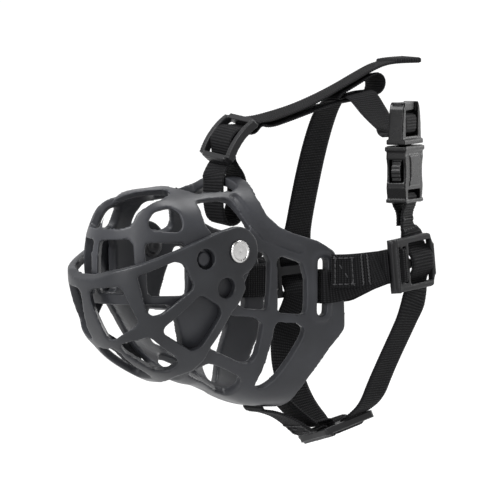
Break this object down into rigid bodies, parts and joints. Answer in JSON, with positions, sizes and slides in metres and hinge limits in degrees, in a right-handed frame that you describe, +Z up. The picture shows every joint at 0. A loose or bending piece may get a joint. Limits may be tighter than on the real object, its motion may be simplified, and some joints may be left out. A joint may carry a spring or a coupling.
{
  "type": "basket muzzle",
  "caption": "Moulded basket muzzle with a swing-up front guard on rivets, webbing harness, strap sliders and a side release buckle.",
  "frame": {"origin": "in the middle plane inside the basket, 1.8 mm below the hinge axis that the front guard turns about", "axes": "-X towards the nose, +X towards the neck opening, +Y towards the wearer's right rivet (far side), +Z up as worn"},
  "size_m": [0.1809, 0.1043, 0.1724],
  "materials": {
    "basket_moulding": "satin moulded thermoplastic rubber",
    "guard_moulding": "satin moulded thermoplastic rubber",
    "nickel": "nickel plated, lightly brushed",
    "slider_plastic": "fine grained acetal",
    "webbing": "ribbed woven polypropylene",
    "buckle_plastic": "polished acetal"
  },
  "bodies": {
    "root": {"basket_shell": "basket_moulding", "rivet_left": "nickel", "rivet_right": "nickel", "rivet_washer_left": "nickel", "rivet_washer_right": "nickel", "side_slider_left": "slider_plastic", "side_slider_right": "slider_plastic", "chin_slider": "slider_plastic", "forehead_slider": "slider_plastic", "side_strap_left": "webbing", "side_strap_right": "webbing", "forehead_strap": "webbing", "chin_strap": "webbing", "collar_strap_near": "webbing", "collar_strap_far": "webbing", "buckle_female": "buckle_plastic"},
    "guard": {"front_guard": "guard_moulding"},
    "buckle_male": {"buckle_male": "buckle_plastic", "collar_strap_upper": "webbing"},
    "prong_front": {"buckle_prong_front": "buckle_plastic"},
    "prong_rear": {"buckle_prong_rear": "buckle_plastic"}
  },
  "joints": [
    {"name": "guard_hinge", "type": "hinge", "parent": "root", "child": "guard", "pos_m": [0, 0, 0.0018], "axis": [0, 1, 0], "range_deg": [0, 60]},
    {"name": "buckle_release", "type": "slide", "parent": "root", "child": "buckle_male", "axis": [0, 0, 1], "range_m": [0, 0.022], "deforming": ["collar_strap_upper"]},
    {"name": "prong_front_squeeze", "type": "hinge", "parent": "buckle_male", "child": "prong_front", "pos_m": [0.08271, -0.04372, 0.0468], "axis": [0.5593, -0.829, 0], "range_deg": [0, 5], "stiffness_Nm_per_rad": 0.05},
    {"name": "prong_rear_squeeze", "type": "hinge", "parent": "buckle_male", "child": "prong_rear", "pos_m": [0.09729, -0.03388, 0.0468], "axis": [-0.5593, 0.829, 0], "range_deg": [0, 5], "stiffness_Nm_per_rad": 0.05}
  ]
}
